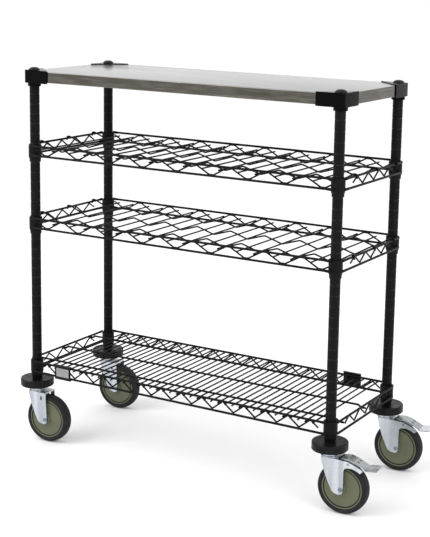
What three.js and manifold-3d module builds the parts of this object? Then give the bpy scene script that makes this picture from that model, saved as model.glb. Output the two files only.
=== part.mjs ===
// Rolling utility cart: four grooved tube posts on swivel casters carry a stainless work top,
// two wire shelves shaped as bottle cradles and a flat wire shelf at the foot.
// Millimetres. X runs along the shelves, Y from the front to the back, Z up from the floor.
import * as THREE from 'three';
import { mergeVertices } from 'three/addons/utils/BufferGeometryUtils.js';
import Module from 'manifold-3d';

const wasm = await Module();
wasm.setup();

const GAP = 0.3; // clearance between neighbouring pieces
const WELD = 0.4; // depth to which two welded wires sink into each other

// Posts
const POST_X = 438; // half the spacing of the posts along the shelves
const POST_Y = 159; // half the spacing of the posts from front to back
const POST_RADIUS = 12.7;
const POST_BORE = 11.2;
const POST_FOOT_Z = 150.3;
const POST_TOP_Z = 990;
const ROUND_SIDES = 12; // sides of everything that is concentric with a post

// Shelf levels: the axis of the upper rim wire of each wire shelf, and the steel surface of the top
const BASE_Z = 218.5;
const LOWER_Z = 605.5;
const UPPER_Z = 795.5;
const TOP_Z = 988.5;

// Split sleeves
const SLEEVE_BORE = 13;
const SLEEVE_RADIUS = 14.8;
const SLEEVE_TIP_RADIUS = 14.2;
const SLEEVE_BELOW = 43; // from the rim wire down to the lower end of the sleeve
const SLEEVE_ABOVE = 2.5;
const SLEEVE_SLIT = 1.6;

// Wire shelves
const COLLAR_RADIUS = 16.9;
const COLLAR_FOOT_RADIUS = 16;
const COLLAR_BORE = 15.15;
const COLLAR_ABOVE = 1.5;
const COLLAR_BELOW = 34;
const RIM_OFFSET = 18.5; // from the post axis out to the rim wires
const RIM_RADIUS = 2.6;
const RIM_END = 3; // the rim wires stop this far inside the post axis
const TRUSS_WIRE = 3.8;
const MAT_WIRE = 3.4;
const TRUSS_PITCH = 60.3;
const TRUSS_INSET = RIM_RADIUS + TRUSS_WIRE / 2 - WELD; // truss plane behind the rim wires
const BASE_TRUSS_DROP = 27.5;
const CRADLE_DROP = 24.5;
const STUB_DROP = 7; // how far a wrapped wire end hangs below the rim wire
const MAT_COUNT = 20; // mat wires on each side of the middle one
const MAT_INSETS = [-139, -19, 103]; // lengthwise wires that carry the mat
const CRADLE_PITCH = 99.6;
const CRADLE_SHIFT = 9; // the middle cradle sits a little off the centre of the shelf
const CRADLE_SIDE_COUNT = 4;
const CRADLE_FLAT = 6; // half the flat at each peak and valley
const CRADLE_INNER_TOP = -7.4; // the inner waves are shallower than the outer ones
const CRADLE_INNER_LOW = -21.4;
const CRADLE_INNER_FLAT = 2;
const CRADLE_INNER_Y = [-110, 4, 116];

// Work top
const PAN_EDGE = 16; // from the post axis out to the steel fascia
const PAN_HEIGHT = 28;
const PAN_SKIN = 1.2;
const PAN_LIP = 12;
const PAN_NOTCH = 19;
const CORNER_EDGE = 18.5;
const CORNER_WALL = CORNER_EDGE - PAN_EDGE - GAP;
const CORNER_REACH = 55;
const CORNER_PLATE = 1.8;
const CORNER_SKIRT = 31;
const CORNER_ROUND = 12;
const CORNER_COLLAR_DROP = 36;

// Post caps
const CAP_RADIUS = 14.2;
const CAP_PLUG_RADIUS = 10.9;
const CAP_PLUG_DEPTH = 12;
const CAP_HEIGHT = 7.6;

// Tag holders on the rim of the lowest shelf
const TAG_LENGTH = 50;
const TAG_HEIGHT = 35;
const TAG_PLATE = 1.8;
const TAG_HOOK = 5;
const TAG_RAIL = 2.4; // the raised rails that hold the label
const TAG_RAIL_RISE = 13.5; // from the middle of the plate to each long rail
const TAG_RAIL_INSET = 3.2; // from the end of the plate to the short rail
const TAG_FRONT_X = -331.5;
const TAG_BACK_X = 327.7;

// Bumpers
const BUMPER_RADIUS = 44.5;
const BUMPER_BORE = 13.3;
const BUMPER_FOOT_Z = 150.5;
const BUMPER_HEIGHT = 20;
const BUMPER_ROUND = 4;
const BUMPER_SIDES = 18;

// Casters
const CASTER_YAW = 4; // degrees, the rest heading of the wheels
const TRAIL = 38; // from the swivel axis back to the axle
const WHEEL_SIDES = 20;
const WHEEL_RADIUS = 63.9; // to the corners of the polygonal tread
const AXLE_Z = WHEEL_RADIUS * Math.cos(Math.PI / WHEEL_SIDES);
const TYRE_HALF = 15;
const TYRE_SHOULDER = 56;
const TREAD_HALF = 8;
const TYRE_BORE = 51.3;
const HUB_RADIUS = 51;
const HUB_HALF = 13;
const HUB_GROOVE_RADIUS = 46;
const HUB_WEB_HALF = 11.5;
const HUB_BOSS_RADIUS = 11;
const HUB_BOSS_HALF = 17.5;
const AXLE_RADIUS = 4;
const AXLE_HEAD_RADIUS = 6;
const AXLE_HEAD_THICK = 3.7;
const AXLE_BORE = 4.6;
const FORK_INNER = 19.5;
const FORK_PLATE = 2.5;
const FORK_OUTER = FORK_INNER + FORK_PLATE;
const CROWN_TOP_Z = 136.5;
const CROWN_THICK = 4;
const CROWN_BACK = -14;
const RACE_RADIUS = 22;
const RACE_TOP_Z = 146.2;
const KING_RADIUS = 6;
const KING_BORE = 6.8;
const KING_HEAD_RADIUS = 9;
const KING_HEAD_THICK = 3;
const HEAD_RADIUS = 21;
const HEAD_TOP_Z = 150;
const HEAD_THICK = 3.4;
const STEM_RADIUS = 10.6;
const STEM_LENGTH = 60;
const FORK_SLOT_WIDTH = 4.5;
const FORK_SLOT_HEIGHT = 10;
const FORK_SLOT_X = TRAIL - 11.5;
const FORK_SLOT_Z = AXLE_Z + 58;

// Brake pedals
const PEDAL_PIVOT_X = TRAIL + 17;
const PEDAL_PIVOT_Z = AXLE_Z + 65;
const PEDAL_PIN_RADIUS = 2.2;
const PEDAL_BORE = 2.8;
const PEDAL_WIDTH = 36;
const PEDAL_SHEET = 2;
const PEDAL_TOE_WIDTH = 46;
const PEDAL_LUG_Y = 15;
const PEDAL_SHOE_HALF = 9;

function finish(color, roughness, metalness) {
  return { color, roughness, metalness };
}

const BLACK_POWDER_COAT = finish(0x1a1a1b, 0.45, 0.2);
const BLACK_PLASTIC = finish(0x141414, 0.35, 0);
const BRUSHED_STEEL = finish(0xb9b9bb, 0.32, 1);
const BLACK_RUBBER = finish(0x1c1b1b, 0.6, 0);
const ZINC_PLATE = finish(0xc6ccd4, 0.3, 1);
const OLIVE_NYLON = finish(0x6d6f5b, 0.5, 0);
const TREAD_RUBBER = finish(0x2e2a2e, 0.75, 0);

// ---------------------------------------------------------------- geometry helpers

// A closed body for joining and cutting, with its faces turned outwards.
function solid(geometry) {
  const plain = geometry.clone();
  plain.deleteAttribute('normal');
  plain.deleteAttribute('uv');
  const merged = mergeVertices(plain, 1e-4);
  const points = new Float32Array(merged.attributes.position.array);
  const faces = [];
  const index = merged.index.array;
  for (let i = 0; i < index.length; i += 3) {
    const [a, b, c] = [index[i], index[i + 1], index[i + 2]];
    if (a !== b && b !== c && c !== a) {
      faces.push([a, b, c]);
    }
  }
  const at = (i) => new THREE.Vector3().fromArray(points, 3 * i);
  const volume = faces.reduce((sum, [a, b, c]) => sum + at(a).dot(at(b).cross(at(c))), 0);
  const turned = volume < 0 ? faces.map(([a, b, c]) => [a, c, b]) : faces;
  const triVerts = new Uint32Array(turned.flat());
  return new wasm.Manifold(new wasm.Mesh({ numProp: 3, vertProperties: points, triVerts }));
}

function geometryOf(body) {
  const mesh = body.getMesh();
  const geometry = new THREE.BufferGeometry();
  geometry.setAttribute('position', new THREE.BufferAttribute(mesh.vertProperties, 3));
  geometry.setIndex(new THREE.BufferAttribute(mesh.triVerts, 1));
  return geometry;
}

function join(geometries) {
  const [first, ...rest] = geometries.map(solid);
  return geometryOf(rest.reduce((body, next) => body.add(next), first));
}

function cut(geometry, tools) {
  return geometryOf(tools.reduce((body, tool) => body.subtract(solid(tool)), solid(geometry)));
}

// Turned body about Z; profile is a list of [radius, z] that closes on itself.
function turned(profile, sides) {
  const points = [...profile, profile[0]].map(([r, z]) => new THREE.Vector2(r, z));
  return new THREE.LatheGeometry(points, sides).rotateX(Math.PI / 2);
}

// Turned body about Z whose profile starts and ends on the axis.
function turnedSolid(profile, sides) {
  const points = profile.map(([r, z]) => new THREE.Vector2(r, z));
  return new THREE.LatheGeometry(points, sides).rotateX(Math.PI / 2);
}

function box(width, depth, height, x, y, z) {
  return new THREE.BoxGeometry(width, depth, height).translate(x, y, z);
}

function shapeOf(points) {
  return new THREE.Shape(points.map(([u, v]) => new THREE.Vector2(u, v)));
}

// Outline in plan view, raised from z to z + height.
function raised(points, z, height) {
  return new THREE.ExtrudeGeometry(shapeOf(points), { depth: height, bevelEnabled: false })
    .translate(0, 0, z);
}

// Outline in [x, z], thick along Y between y0 and y1.
function upright(points, y0, y1) {
  return new THREE.ExtrudeGeometry(shapeOf(points), { depth: y1 - y0, bevelEnabled: false })
    .rotateX(Math.PI / 2)
    .translate(0, y1, 0);
}

// Outline of a band of constant width that follows an open path of [u, v] points.
function band(path, width) {
  const points = path.map(([u, v]) => new THREE.Vector2(u, v));
  const normals = points.slice(1).map((point, i) => {
    const along = point.clone().sub(points[i]).normalize();
    return new THREE.Vector2(-along.y, along.x);
  });
  const sides = points.map((point, i) => {
    const before = normals[Math.max(i - 1, 0)];
    const after = normals[Math.min(i, normals.length - 1)];
    const reach = width / 2 / (1 + before.dot(after));
    return before.clone().add(after).multiplyScalar(reach);
  });
  const left = points.map((point, i) => point.clone().add(sides[i]).toArray());
  const right = points.map((point, i) => point.clone().sub(sides[i]).toArray());
  return [...left, ...right.reverse()];
}

// Square wire bent in an X-Z plane at y, or in a Y-Z plane at x.
function wireAlongX(path, wire, y) {
  return upright(band(path, wire), y - wire / 2, y + wire / 2);
}

function wireAlongY(path, wire, x) {
  return upright(band(path, wire), -wire / 2, wire / 2).rotateZ(Math.PI / 2).translate(x, 0, 0);
}

// Straight rim wire along X or Y.
function rimAlongX(half, y, z) {
  return box(2 * half, 2 * RIM_RADIUS, 2 * RIM_RADIUS, 0, y, z);
}

function rimAlongY(half, x, z) {
  return box(2 * RIM_RADIUS, 2 * half, 2 * RIM_RADIUS, x, 0, z);
}

// ---------------------------------------------------------------- posts and sleeves

function postGeometry() {
  return turned([
    [POST_RADIUS, POST_FOOT_Z],
    [POST_RADIUS, POST_TOP_Z],
    [POST_BORE, POST_TOP_Z],
    [POST_BORE, POST_FOOT_Z],
  ], ROUND_SIDES);
}

function sleeveGeometry() {
  const ring = turned([
    [SLEEVE_BORE, -SLEEVE_BELOW],
    [SLEEVE_RADIUS, -SLEEVE_BELOW],
    [SLEEVE_TIP_RADIUS, SLEEVE_ABOVE],
    [SLEEVE_BORE, SLEEVE_ABOVE],
  ], ROUND_SIDES);
  const length = SLEEVE_BELOW + SLEEVE_ABOVE + 2;
  const middle = (SLEEVE_ABOVE - SLEEVE_BELOW) / 2;
  return cut(ring, [box(2 * SLEEVE_RADIUS, SLEEVE_SLIT, length, SLEEVE_RADIUS + 2, 0, middle)]);
}

function capGeometry() {
  return turnedSolid([
    [0, -CAP_PLUG_DEPTH],
    [CAP_PLUG_RADIUS, -CAP_PLUG_DEPTH],
    [CAP_PLUG_RADIUS, 0],
    [CAP_RADIUS, 0],
    [CAP_RADIUS, 0.3 * CAP_HEIGHT],
    [0.78 * CAP_RADIUS, 0.72 * CAP_HEIGHT],
    [0.4 * CAP_RADIUS, 0.95 * CAP_HEIGHT],
    [0, CAP_HEIGHT],
  ], ROUND_SIDES).translate(0, 0, POST_TOP_Z + GAP);
}

// ---------------------------------------------------------------- work top

// Rectangle with its four corners notched out for the posts.
function notchedOutline(edge, notch) {
  const [x, y] = [POST_X + edge, POST_Y + edge];
  const [u, v] = [POST_X - notch, POST_Y - notch];
  return [
    [-u, -y], [u, -y], [u, -v], [x, -v], [x, v], [u, v],
    [u, y], [-u, y], [-u, v], [-x, v], [-x, -v], [-u, -v],
  ];
}

function panGeometry() {
  const foot = TOP_Z - PAN_HEIGHT;
  const cavity = PAN_HEIGHT - 2 * PAN_SKIN;
  return cut(raised(notchedOutline(PAN_EDGE, PAN_NOTCH), foot, PAN_HEIGHT), [
    raised(notchedOutline(PAN_EDGE - PAN_SKIN, PAN_NOTCH + PAN_SKIN), foot + PAN_SKIN, cavity),
    raised(notchedOutline(PAN_EDGE - PAN_LIP, PAN_NOTCH + PAN_LIP), foot - 1, PAN_SKIN + 2),
  ]);
}

// Quarter round at the outer corner of the front right post, from the front face to the side face.
function cornerRound(radius) {
  const centre = CORNER_EDGE - CORNER_ROUND;
  return [-90, -60, -30, 0].map((angle) => {
    const turn = THREE.MathUtils.degToRad(angle);
    return [centre + radius * Math.cos(turn), -centre + radius * Math.sin(turn)];
  });
}

// Corner piece of the front right post; the post axis is at the origin.
function cornerGeometry() {
  const e = CORNER_EDGE;
  const inner = e - CORNER_WALL;
  const round = cornerRound(CORNER_ROUND);
  const plate = [[-CORNER_REACH, -e], ...round, [e, CORNER_REACH]];
  const collar = new THREE.CylinderGeometry(COLLAR_RADIUS, COLLAR_RADIUS, 1, ROUND_SIDES)
    .rotateX(Math.PI / 2)
    .scale(1, 1, CORNER_COLLAR_DROP)
    .translate(0, 0, TOP_Z + 1 - CORNER_COLLAR_DROP / 2);
  const wall = [
    [-CORNER_REACH, -e], ...round, [e, CORNER_REACH], [inner, CORNER_REACH],
    ...cornerRound(CORNER_ROUND - CORNER_WALL).reverse(), [-CORNER_REACH, -inner],
  ];
  const body = join([
    raised(plate, TOP_Z + GAP, CORNER_PLATE),
    raised(wall, TOP_Z - CORNER_SKIRT, CORNER_SKIRT + 1),
    collar,
  ]);
  const bore = new THREE.CylinderGeometry(COLLAR_BORE, COLLAR_BORE, 3 * CORNER_SKIRT, ROUND_SIDES)
    .rotateX(Math.PI / 2)
    .translate(0, 0, TOP_Z);
  return cut(body, [bore]);
}

// ---------------------------------------------------------------- wire shelves

function collarGeometry(x, y) {
  return turned([
    [COLLAR_BORE, -COLLAR_BELOW],
    [COLLAR_FOOT_RADIUS, -COLLAR_BELOW],
    [COLLAR_RADIUS, 0.12 * COLLAR_BELOW - COLLAR_BELOW],
    [COLLAR_RADIUS, COLLAR_ABOVE],
    [COLLAR_BORE, COLLAR_ABOVE],
  ], ROUND_SIDES).translate(x, y, 0);
}

// Rim wires at two heights on all four sides, and the four collars they are welded to.
function rimAndCollars(drop) {
  const pieces = [];
  for (const side of [-1, 1]) {
    for (const z of [0, -drop]) {
      pieces.push(rimAlongX(POST_X - RIM_END, side * (POST_Y + RIM_OFFSET), z));
      pieces.push(rimAlongY(POST_Y - RIM_END, side * (POST_X + RIM_OFFSET), z));
    }
    pieces.push(collarGeometry(side * POST_X, -POST_Y), collarGeometry(side * POST_X, POST_Y));
  }
  return pieces;
}

// Zigzag between two rim wires: valleys at whole pitches, a cut end hanging free at each end.
function zigzag(valleys, drop) {
  const top = -TRUSS_WIRE / 2;
  const low = TRUSS_WIRE / 2 - drop;
  const path = [[-(valleys + 0.85) * TRUSS_PITCH, low + 0.3 * drop]];
  for (let k = -valleys; k <= valleys; k++) {
    path.push([(k - 0.5) * TRUSS_PITCH, top], [k * TRUSS_PITCH, low]);
  }
  path.push([(valleys + 0.5) * TRUSS_PITCH, top]);
  path.push([(valleys + 0.85) * TRUSS_PITCH, low + 0.3 * drop]);
  return path;
}

function sideTrusses(drop) {
  const x = POST_X + RIM_OFFSET - TRUSS_INSET;
  return [-x, x].map((at) => wireAlongY(zigzag(1, drop), TRUSS_WIRE, at));
}

function baseShelfGeometry() {
  const pieces = [...rimAndCollars(BASE_TRUSS_DROP), ...sideTrusses(BASE_TRUSS_DROP)];
  const rimY = POST_Y + RIM_OFFSET;
  const rimX = POST_X + RIM_OFFSET;
  for (const y of [-rimY + TRUSS_INSET, rimY - TRUSS_INSET]) {
    pieces.push(wireAlongX(zigzag(6, BASE_TRUSS_DROP), TRUSS_WIRE, y));
  }
  // Lengthwise wires run close over the mat and dip below the side rim wires they are welded to.
  const run = WELD + GAP;
  const dip = WELD - 2 * RIM_RADIUS;
  for (const y of MAT_INSETS) {
    const half = [[rimX - 14, run], [rimX - 6, dip], [rimX + 6, dip]];
    const left = half.map(([x, z]) => [-x, z]).reverse();
    pieces.push(wireAlongX([...left, ...half], 2 * RIM_RADIUS, y));
  }
  // Mat wires are welded under the front and back rim wires and stick out a little beyond them.
  const level = WELD - RIM_RADIUS - MAT_WIRE / 2;
  const length = 2 * (rimY + RIM_RADIUS + 1.5);
  for (let k = -MAT_COUNT; k <= MAT_COUNT; k++) {
    pieces.push(box(MAT_WIRE, length, MAT_WIRE, (k * TRUSS_PITCH) / 3, 0, level));
  }
  return join(pieces);
}

// Wave of one lengthwise cradle wire from the first valley to the last, with flats at both levels.
function cradleWave(top, low, flat) {
  const path = [];
  for (let k = -CRADLE_SIDE_COUNT; k <= CRADLE_SIDE_COUNT; k++) {
    const valley = CRADLE_SHIFT + k * CRADLE_PITCH;
    const peak = valley + CRADLE_PITCH / 2;
    path.push([valley - flat, low], [valley + flat, low]);
    path.push([peak - flat, top], [peak + flat, top]);
  }
  return path.slice(0, -2);
}

function cradleShelfGeometry() {
  const pieces = [...rimAndCollars(CRADLE_DROP), ...sideTrusses(CRADLE_DROP)];
  const rimY = POST_Y + RIM_OFFSET;
  const rimX = POST_X + RIM_OFFSET;
  const slope = (CRADLE_DROP - TRUSS_WIRE) / (CRADLE_PITCH / 2 - 2 * CRADLE_FLAT);
  // Front and back waves, welded to the rim wires, rise towards the collars at both ends.
  const wave = cradleWave(-TRUSS_WIRE / 2, TRUSS_WIRE / 2 - CRADLE_DROP, CRADLE_FLAT);
  const end = POST_X - 12;
  const rise = (x, [foot, low]) => [x, low + slope * Math.abs(x - foot)];
  const outerWave = [rise(-end, wave[0]), ...wave, rise(end, wave[wave.length - 1])];
  for (const y of [-rimY + TRUSS_INSET, rimY - TRUSS_INSET]) {
    pieces.push(wireAlongX(outerWave, TRUSS_WIRE, y));
  }
  // Inner waves run close under the rails, climb over the side rim wires and end in a stub.
  const over = RIM_RADIUS + TRUSS_WIRE / 2 - WELD;
  const wrap = rimX + RIM_RADIUS + TRUSS_WIRE / 2 - WELD;
  const innerWave = [
    [-wrap, -STUB_DROP], [-wrap, over], [-rimX + 4, over],
    ...cradleWave(CRADLE_INNER_TOP, CRADLE_INNER_LOW, CRADLE_INNER_FLAT),
    [rimX - 4, over], [wrap, over], [wrap, -STUB_DROP],
  ];
  for (const y of CRADLE_INNER_Y) {
    pieces.push(wireAlongX(innerWave, TRUSS_WIRE, y));
  }
  // Two rails per cradle lie on the slopes of the front and back waves at mid height.
  const tilt = Math.atan(slope);
  const lift = (TRUSS_WIRE + MAT_WIRE) / 2 - WELD;
  const run = CRADLE_PITCH / 4;
  for (let k = -CRADLE_SIDE_COUNT; k <= CRADLE_SIDE_COUNT; k++) {
    for (const side of [-1, 1]) {
      const x = CRADLE_SHIFT + k * CRADLE_PITCH + side * run;
      const rail = new THREE.BoxGeometry(MAT_WIRE, 2 * rimY + 3, MAT_WIRE)
        .translate(0, 0, lift)
        .rotateY(-side * tilt)
        .translate(x, 0, -CRADLE_DROP / 2);
      if (Math.abs(x) < POST_X - COLLAR_RADIUS - MAT_WIRE) {
        pieces.push(rail);
      }
    }
  }
  return join(pieces);
}

// ---------------------------------------------------------------- tag holder and bumper

// Flat plate in front of the truss with a hook over the upper and under the lower rim wire.
function tagGeometry() {
  const face = -(POST_Y + RIM_OFFSET + RIM_RADIUS + MAT_WIRE - WELD + GAP);
  const top = RIM_RADIUS + MAT_WIRE - WELD + GAP;
  const foot = top - TAG_HEIGHT - TAG_PLATE;
  const middle = (top + foot) / 2;
  const half = TAG_LENGTH / 2;
  const hook = (z) => box(TAG_LENGTH, TAG_HOOK + TAG_PLATE, TAG_PLATE, 0, face + TAG_HOOK / 2, z);
  const plate = box(TAG_LENGTH, TAG_PLATE, top - foot, 0, face - TAG_PLATE / 2, middle);
  const rail = (x, z, width, height) => box(width, 1, height, x, face - TAG_PLATE - WELD, z);
  return join([
    plate,
    hook(foot - TAG_PLATE / 2 + 0.1),
    hook(top + TAG_PLATE / 2 - 0.1),
    rail(0, middle + TAG_RAIL_RISE, 2 * (half - TAG_RAIL_INSET) + TAG_RAIL, TAG_RAIL),
    rail(0, middle - TAG_RAIL_RISE, 2 * (half - TAG_RAIL_INSET) + TAG_RAIL, TAG_RAIL),
    rail(half - TAG_RAIL_INSET, middle, TAG_RAIL, 2 * TAG_RAIL_RISE + 1),
  ]);
}

function bumperGeometry() {
  const [low, high] = [BUMPER_FOOT_Z, BUMPER_FOOT_Z + BUMPER_HEIGHT];
  const inner = BUMPER_RADIUS - BUMPER_ROUND;
  return turned([
    [BUMPER_BORE, low],
    [inner, low],
    [BUMPER_RADIUS, low + BUMPER_ROUND],
    [BUMPER_RADIUS, high - BUMPER_ROUND],
    [inner, high],
    [BUMPER_BORE, high],
  ], BUMPER_SIDES);
}

// ---------------------------------------------------------------- casters, swivel axis at x = 0

function stemGeometry() {
  const rivetTop = CROWN_TOP_Z - CROWN_THICK - GAP - 0.1;
  const headFoot = HEAD_TOP_Z - HEAD_THICK;
  return turnedSolid([
    [0, rivetTop - KING_HEAD_THICK],
    [KING_HEAD_RADIUS, rivetTop - KING_HEAD_THICK],
    [KING_HEAD_RADIUS, rivetTop],
    [KING_RADIUS, rivetTop],
    [KING_RADIUS, headFoot],
    [HEAD_RADIUS, headFoot],
    [HEAD_RADIUS, HEAD_TOP_Z],
    [STEM_RADIUS, HEAD_TOP_Z],
    [STEM_RADIUS, HEAD_TOP_Z + STEM_LENGTH],
    [0, HEAD_TOP_Z + STEM_LENGTH],
  ], ROUND_SIDES);
}

// Lower half of a fork plate, from the upper end of its slanted edge round the axle to the inner edge.
function legOutline() {
  return [
    [CROWN_BACK, CROWN_TOP_Z], [-8, AXLE_Z + 52], [-2, AXLE_Z + 33], [16, AXLE_Z - 6],
    [22, AXLE_Z - 10.5], [34, AXLE_Z - 13], [41, AXLE_Z - 10.5], [44, AXLE_Z - 6],
  ];
}

function plainForkOutline() {
  return [...legOutline(), [41, AXLE_Z + 60], [40, CROWN_TOP_Z]];
}

// The braked fork reaches over the wheel in a curved arm that guards the pedal.
function brakedForkOutline() {
  return [
    ...legOutline(), [44.5, AXLE_Z + 49], [50, AXLE_Z + 54.5], [68, AXLE_Z + 54.5],
    [80, AXLE_Z + 48], [82, AXLE_Z + 44.5], [93, AXLE_Z + 55], [85, AXLE_Z + 59.5],
    [68, AXLE_Z + 66.5], [52, AXLE_Z + 71.5], [36, AXLE_Z + 72.6], [29, CROWN_TOP_Z],
  ];
}

function crossBore(radius, x, z, half) {
  return new THREE.CylinderGeometry(radius, radius, 2 * half, 8).translate(x, 0, z);
}

function forkGeometry(braked) {
  const outline = braked ? brakedForkOutline() : plainForkOutline();
  const crownEnd = outline[outline.length - 1][0];
  const crownFoot = CROWN_TOP_Z - CROWN_THICK;
  const crown = [
    [CROWN_BACK + 0.5, crownFoot], [crownEnd - 0.2, crownFoot],
    [crownEnd - 0.2, CROWN_TOP_Z - 0.1], [CROWN_BACK + 0.1, CROWN_TOP_Z - 0.1],
  ];
  const raceHeight = RACE_TOP_Z - CROWN_TOP_Z + 1;
  const race = new THREE.CylinderGeometry(RACE_RADIUS - 1.5, RACE_RADIUS, raceHeight, ROUND_SIDES)
    .rotateX(Math.PI / 2)
    .translate(0, 0, RACE_TOP_Z - raceHeight / 2);
  const body = join([
    upright(outline, -FORK_OUTER, -FORK_INNER),
    upright(outline, FORK_INNER, FORK_OUTER),
    upright(crown, -FORK_OUTER + 0.1, FORK_OUTER - 0.1),
    race,
  ]);
  const kingBore = new THREE.CylinderGeometry(KING_BORE, KING_BORE, 40, ROUND_SIDES)
    .rotateX(Math.PI / 2)
    .translate(0, 0, CROWN_TOP_Z);
  const tools = [kingBore, crossBore(AXLE_BORE, TRAIL, AXLE_Z, 2 * FORK_OUTER)];
  if (braked) {
    tools.push(crossBore(PEDAL_BORE, PEDAL_PIVOT_X, PEDAL_PIVOT_Z, 2 * FORK_OUTER));
  } else {
    const depth = 4 * FORK_OUTER;
    tools.push(box(FORK_SLOT_WIDTH, depth, FORK_SLOT_HEIGHT, FORK_SLOT_X, 0, FORK_SLOT_Z));
  }
  return cut(body, tools);
}

// Moves a body turned about Z onto the axle.
function turnedOnAxle(geometry) {
  return geometry.rotateX(Math.PI / 2).translate(TRAIL, 0, AXLE_Z);
}

function axleGeometry() {
  const inside = FORK_OUTER + GAP;
  const outside = inside + AXLE_HEAD_THICK;
  return turnedOnAxle(turnedSolid([
    [0, -outside], [AXLE_HEAD_RADIUS, -outside], [AXLE_HEAD_RADIUS, -inside], [AXLE_RADIUS, -inside],
    [AXLE_RADIUS, inside], [AXLE_HEAD_RADIUS, inside], [AXLE_HEAD_RADIUS, outside], [0, outside],
  ], 8));
}

// A flat of the polygonal tread faces the floor at rest.
function wheelRing(profile) {
  return turnedOnAxle(turned(profile, WHEEL_SIDES).rotateZ(Math.PI / WHEEL_SIDES));
}

function hubGeometry() {
  const half = [
    [AXLE_BORE, HUB_BOSS_HALF],
    [HUB_BOSS_RADIUS, HUB_BOSS_HALF],
    [HUB_BOSS_RADIUS, HUB_WEB_HALF],
    [HUB_GROOVE_RADIUS, HUB_WEB_HALF],
    [HUB_RADIUS, HUB_HALF],
  ];
  const mirrored = half.map(([r, y]) => [r, -y]).reverse();
  return wheelRing([...half, ...mirrored]);
}

function tyreGeometry() {
  return wheelRing([
    [TYRE_BORE, -HUB_HALF], [TYRE_SHOULDER, -TYRE_HALF], [WHEEL_RADIUS, -TREAD_HALF],
    [WHEEL_RADIUS, TREAD_HALF], [TYRE_SHOULDER, TYRE_HALF], [TYRE_BORE, HUB_HALF],
  ]);
}

// Sheet cover between the fork arms, a wide toe tab, two lugs with the pivot pin, and the shoe.
function pedalGeometry() {
  const half = PEDAL_WIDTH / 2;
  const cover = [
    [36, AXLE_Z + 75], [52, AXLE_Z + 76], [68, AXLE_Z + 71.5], [84, AXLE_Z + 64], [97, AXLE_Z + 57.5],
  ];
  const toe = [[95.6, AXLE_Z + 57], [100, AXLE_Z + 57.2], [127, AXLE_Z + 59.5]];
  const lug = [
    [PEDAL_PIVOT_X - 6, PEDAL_PIVOT_Z - 3], [PEDAL_PIVOT_X + 5, PEDAL_PIVOT_Z - 3],
    [80, AXLE_Z + 62], [78, AXLE_Z + 66.3], [68, AXLE_Z + 71], [52, AXLE_Z + 75.5],
    [40, AXLE_Z + 74.8],
  ];
  const shoe = [[66, AXLE_Z + 72], [66, AXLE_Z + 60.5], [74, AXLE_Z + 59.5], [78, AXLE_Z + 66.5]];
  return join([
    upright(band(cover, PEDAL_SHEET), -half, half),
    upright(band(toe, PEDAL_SHEET + 0.6), -PEDAL_TOE_WIDTH / 2, PEDAL_TOE_WIDTH / 2),
    upright(lug, -PEDAL_LUG_Y - PEDAL_SHEET, -PEDAL_LUG_Y),
    upright(lug, PEDAL_LUG_Y, PEDAL_LUG_Y + PEDAL_SHEET),
    upright(shoe, -PEDAL_SHOE_HALF, PEDAL_SHOE_HALF),
    crossBore(PEDAL_PIN_RADIUS, PEDAL_PIVOT_X, PEDAL_PIVOT_Z, FORK_OUTER + 1),
  ]);
}

// ---------------------------------------------------------------- assembly

const group = new THREE.Group();
group.name = 'rolling_utility_cart';

function place(name, geometry, matrix, look) {
  const placed = geometryOf(solid(geometry.clone().applyMatrix4(matrix)));
  const material = new THREE.MeshStandardMaterial({ ...look, flatShading: true });
  const mesh = new THREE.Mesh(placed, material);
  mesh.name = name;
  group.add(mesh);
}

const shift = (x, y, z) => new THREE.Matrix4().makeTranslation(x, y, z);

const CORNERS = [
  { name: 'front_left', x: -1, y: -1, braked: false },
  { name: 'front_right', x: 1, y: -1, braked: true },
  { name: 'back_left', x: -1, y: 1, braked: false },
  { name: 'back_right', x: 1, y: 1, braked: true },
];

const SLEEVE_LEVELS = [['base', BASE_Z], ['lower', LOWER_Z], ['upper', UPPER_Z], ['top', TOP_Z - 2]];

const postShape = postGeometry();
const sleeveShape = sleeveGeometry();
const capShape = capGeometry();
const cornerShape = cornerGeometry();
const bumperShape = bumperGeometry();
const stemShape = stemGeometry();
const axleShape = axleGeometry();
const hubShape = hubGeometry();
const tyreShape = tyreGeometry();
const pedalShape = pedalGeometry();

for (const corner of CORNERS) {
  const at = shift(corner.x * POST_X, corner.y * POST_Y, 0);
  const mirror = new THREE.Matrix4().makeScale(corner.x, -corner.y, 1);
  const yaw = new THREE.Matrix4().makeRotationZ(THREE.MathUtils.degToRad(CASTER_YAW));
  const caster = at.clone().multiply(yaw);
  place(`post_${corner.name}`, postShape, at, BLACK_POWDER_COAT);
  place(`post_cap_${corner.name}`, capShape, at, BLACK_PLASTIC);
  place(`top_corner_${corner.name}`, cornerShape, at.clone().multiply(mirror), BLACK_PLASTIC);
  for (const [level, z] of SLEEVE_LEVELS) {
    const home = at.clone().multiply(mirror).multiply(shift(0, 0, z));
    place(`split_sleeve_${level}_${corner.name}`, sleeveShape, home, BLACK_PLASTIC);
  }
  place(`bumper_${corner.name}`, bumperShape, at, BLACK_RUBBER);
  place(`caster_stem_${corner.name}`, stemShape, at, ZINC_PLATE);
  place(`caster_fork_${corner.name}`, forkGeometry(corner.braked), caster, ZINC_PLATE);
  place(`caster_axle_${corner.name}`, axleShape, caster, ZINC_PLATE);
  place(`wheel_hub_${corner.name}`, hubShape, caster, OLIVE_NYLON);
  place(`wheel_tyre_${corner.name}`, tyreShape, caster, TREAD_RUBBER);
  if (corner.braked) {
    place(`brake_pedal_${corner.name}`, pedalShape, caster, ZINC_PLATE);
  }
}

const cradleShape = cradleShelfGeometry();
const tagShape = tagGeometry();
const halfTurn = new THREE.Matrix4().makeRotationZ(Math.PI);

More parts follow.
